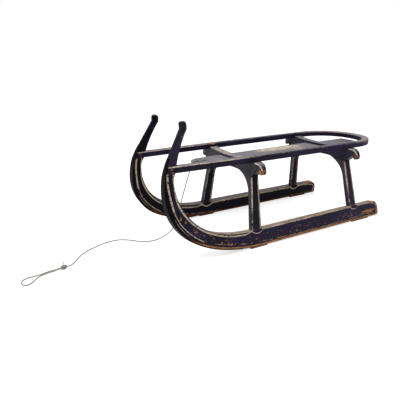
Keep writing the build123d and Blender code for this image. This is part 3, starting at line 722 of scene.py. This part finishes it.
# Knot at the hand loop: wraps round the cord, wider to the left, and a tail that lies on the floor
knot_middle = Vector((0.791, 0.012, 0.0078))
knot_heading = math.radians(12)
knot_axis = Vector((math.cos(knot_heading), math.sin(knot_heading), 0))
knot_left = Vector((-knot_axis.y, knot_axis.x, 0))
knot_up = Vector((0, 0, 1))
knot_half = 0.0080
knot_radius = 0.0054
knot_taper = 0.0012
knot_shift = 0.0035
knot_stretch = 1.5
knot_turns = 3.2
knot_steps = 44
core_half = 0.0084
wraps = []
for step in range(knot_steps + 1):
    angle = math.tau * knot_turns * step / knot_steps
    share = 2 * step / knot_steps - 1
    out = knot_radius - knot_taper * abs(share)
    sideways = knot_left * (knot_shift + knot_stretch * out * math.cos(angle))
    wraps.append(knot_middle + knot_axis * (knot_half * share) + sideways + knot_up * (out * math.sin(angle)))
tail_way = Vector((-0.139, -0.990, 0))
tail_steps = (
    (0, 0, 0), (0.009, 0, 0.0028), (0.018, 0, 0.0061), (0.032, 0.001, 0.0061), (0.049, -0.001, 0.0061))
tail = [knot_middle + tail_way * reach + Vector((bow, 0, -drop)) for reach, bow, drop in tail_steps]
core = [knot_middle - knot_axis * core_half, knot_middle, knot_middle + knot_axis * core_half]
knot_mesh = joined(turned("wraps", wraps, 0.0022, 0.009), turned("tail", tail, 0.0015, 0.008),
                   turned("core", core, 0.0044, 0.014))
tow_knot = piece("tow_knot_wraps", *knot_mesh, knot_look, "cord")
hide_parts("tow_knot")

# Stopper knot under the plank: two tilted wraps round the cord's hanging end
stopper_middle = Vector((0.257, 0, 0.2700))
stopper_radius = 0.0042
stopper_tilt = 0.0022
stopper_drop = 0.001
stopper_turns = 2
stopper_steps = 48
stopper = []
for step in range(stopper_steps + 1):
    angle = math.tau * stopper_turns * step / stopper_steps
    lift = stopper_tilt * math.sin(angle * 1.5) - stopper_drop * step / stopper_steps
    stopper.append(stopper_middle
                   + Vector((stopper_radius * math.cos(angle), stopper_radius * math.sin(angle), lift)))
hang = [Vector((0.257, 0, 0.2745)), Vector((0.2575, 0.0005, 0.269)), Vector((0.2565, -0.0005, 0.2645))]
stopper_mesh = joined(turned("stopper", stopper, 0.0020, 0.008), turned("hang", hang, 0.0020, 0.010))
stopper_knot = piece("stopper_knot_wraps", *stopper_mesh, knot_look, "cord")
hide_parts("stopper_knot")

# Hitch: turns of the cord's end that grip the cord where it goes over the plank's nose
hitch_points = [
    (0.268, -0.010, 0.2892), (0.280, -0.0085, 0.2892), (0.2885, -0.0075, 0.2900), (0.2915, -0.0040, 0.2945),
    (0.2925, 0.0005, 0.2962), (0.2920, 0.0055, 0.2940), (0.2905, 0.0085, 0.2893), (0.2850, 0.0105, 0.2891),
    (0.2790, 0.0085, 0.2893), (0.2765, 0.0040, 0.2945), (0.2770, -0.0005, 0.2960), (0.2785, -0.0055, 0.2942),
    (0.2810, -0.0110, 0.2892), (0.2880, -0.0150, 0.2891), (0.2970, -0.0165, 0.2891),
    (0.3040, -0.0120, 0.2892), (0.3050, -0.0065, 0.2893)]
hitch = piece("nose_hitch", *turned("hitch", hitch_points, 0.0020, 0.010), hitch_look, "cord")


def laid_cord(name, route, node):
    """A cord of three twisted strands along a route, in place of its plain solid."""
    points = line_points(guide(name + "_guide", route))
    made = piece(name, *laid(points, cord_size / 2, cord_pitch, cord_sides), cord_look, "cord")
    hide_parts(node)


laid_cord("tow_cord_strands", cord_points, "tow_cord")
laid_cord("tow_loop_strands", loop_points, "tow_loop")

# Nail heads on both sides: in the bunks' front and rear faces, and in the rails above the bunks
to_front = (1, 0, 0)
to_rear = (-1, 0, 0)
to_top = (0, 0, 1)
nails = []
for side in (1, -1):
    nails += [((0.166, side * 0.1406, 0.262), to_front), ((-0.276, side * 0.1450, 0.262), to_front),
              ((0.134, side * 0.1406, 0.262), to_rear), ((-0.308, side * 0.1450, 0.262), to_rear),
              ((0.150, side * 0.1456, 0.317), to_top), ((-0.292, side * 0.1497, 0.317), to_top)]

# A nail head's outline from its rim to its crown, by radius and height, and its number of sides
nail_rings = ((0.0030, -0.0004), (0.0029, 0.0003), (0.0022, 0.0008), (0.0011, 0.0010))
nail_sides = 12


def nail_head(at, facing):
    """A low hammered dome with a rim."""
    out = Vector(facing)
    first = out.orthogonal().normalized()
    second = out.cross(first)
    verts, faces = [], []
    for radius, lift in nail_rings:
        for step in range(nail_sides):
            angle = math.tau * step / nail_sides
            around = first * math.cos(angle) + second * math.sin(angle)
            verts.append(Vector(at) + around * radius + out * lift)
    crown = (len(nail_rings) - 1) * nail_sides
    for low in range(0, crown, nail_sides):
        high = low + nail_sides
        for step in range(nail_sides):
            following = (step + 1) % nail_sides
            faces.append((low + step, low + following, high + following, high + step))
    faces.append(tuple(range(crown, crown + nail_sides)))
    return verts, faces


piece("nail_heads", *joined(*[nail_head(at, facing) for at, facing in nails]), iron, "shoe_iron")


def worked_out(tree, operation, first, second):
    """A math node in a tree, fed by sockets or constants."""
    made = tree.nodes.new("ShaderNodeMath")
    made.operation = operation
    for socket, value in zip(made.inputs, (first, second)):
        if isinstance(value, bpy.types.NodeSocket):
            tree.links.new(value, socket)
        else:
            socket.default_value = value
    return made.outputs[0]


# Floor: matt grey that glows where it is seen, so that it looks white and still takes a shadow
floor_grey = 0.50
floor_glow = 0.68
floor_radius = 3.2
floor_sides = 96

stage_look = bpy.data.materials.new("studio_white")
stage_look.use_nodes = True
tree = stage_look.node_tree
tree.nodes.clear()
rays = tree.nodes.new("ShaderNodeLightPath").outputs
seen = worked_out(tree, "MAXIMUM", rays["Is Camera Ray"], rays["Is Glossy Ray"])
seen = worked_out(tree, "MAXIMUM", seen, rays["Is Transmission Ray"])
matt = tree.nodes.new("ShaderNodeBsdfDiffuse")
matt.inputs["Color"].default_value = (floor_grey, floor_grey, floor_grey, 1)
glow = tree.nodes.new("ShaderNodeEmission")
tree.links.new(worked_out(tree, "MULTIPLY", seen, floor_glow), glow.inputs["Strength"])
both = tree.nodes.new("ShaderNodeAddShader")
tree.links.new(matt.outputs[0], both.inputs[0])
tree.links.new(glow.outputs[0], both.inputs[1])
result = tree.nodes.new("ShaderNodeOutputMaterial")
tree.links.new(both.outputs[0], result.inputs["Surface"])

floor_angles = [step * math.tau / floor_sides for step in range(floor_sides)]
rim_points = [(floor_radius * math.cos(angle), floor_radius * math.sin(angle), 0) for angle in floor_angles]
sheet = bpy.data.meshes.new("studio_floor")
sheet.from_pydata(rim_points, [], [list(range(floor_sides))])
sheet.materials.append(stage_look)
floor = bpy.data.objects.new("studio_floor", sheet)
scene.collection.objects.link(floor)

# Backdrop: white where it is seen, and a light that is weaker towards the horizon
horizon_light = 0.22
zenith_light = 0.95
zenith_from = 0.7

world = bpy.data.worlds.new("studio")
scene.world = world
world.use_nodes = True
sky = world.node_tree
backdrop = sky.nodes["Background"]
rays = sky.nodes.new("ShaderNodeLightPath").outputs
place = sky.nodes.new("ShaderNodeTexCoord")
parts = sky.nodes.new("ShaderNodeSeparateXYZ")
rise = sky.nodes.new("ShaderNodeMapRange")
rise.inputs["From Min"].default_value = 0.0
rise.inputs["From Max"].default_value = zenith_from
rise.inputs["To Min"].default_value = horizon_light
rise.inputs["To Max"].default_value = zenith_light
sky.links.new(place.outputs["Generated"], parts.inputs[0])
sky.links.new(parts.outputs[2], rise.inputs["Value"])
strength = worked_out(sky, "MAXIMUM", rise.outputs[0], rays["Is Camera Ray"])
sky.links.new(strength, backdrop.inputs["Strength"])
backdrop.inputs["Color"].default_value = (1, 1, 1, 1)

lamp_size = 1.6


def soft_lamp(name, at, aim, power):
    lamp = bpy.data.lights.new(name, "AREA")
    lamp.shape = "DISK"
    lamp.size = lamp_size
    lamp.energy = power
    made = bpy.data.objects.new(name, lamp)
    made.location = at
    made.rotation_euler = (Vector(aim) - Vector(at)).to_track_quat("-Z", "Y").to_euler()
    scene.collection.objects.link(made)


soft_lamp("key_lamp", at=(1.6, 0.5, 2.4), aim=(0, 0, 0.15), power=46)
soft_lamp("back_lamp", at=(-1.2, -1.6, 2.0), aim=(0, 0, 0.2), power=11)

bpy.context.view_layer.update()
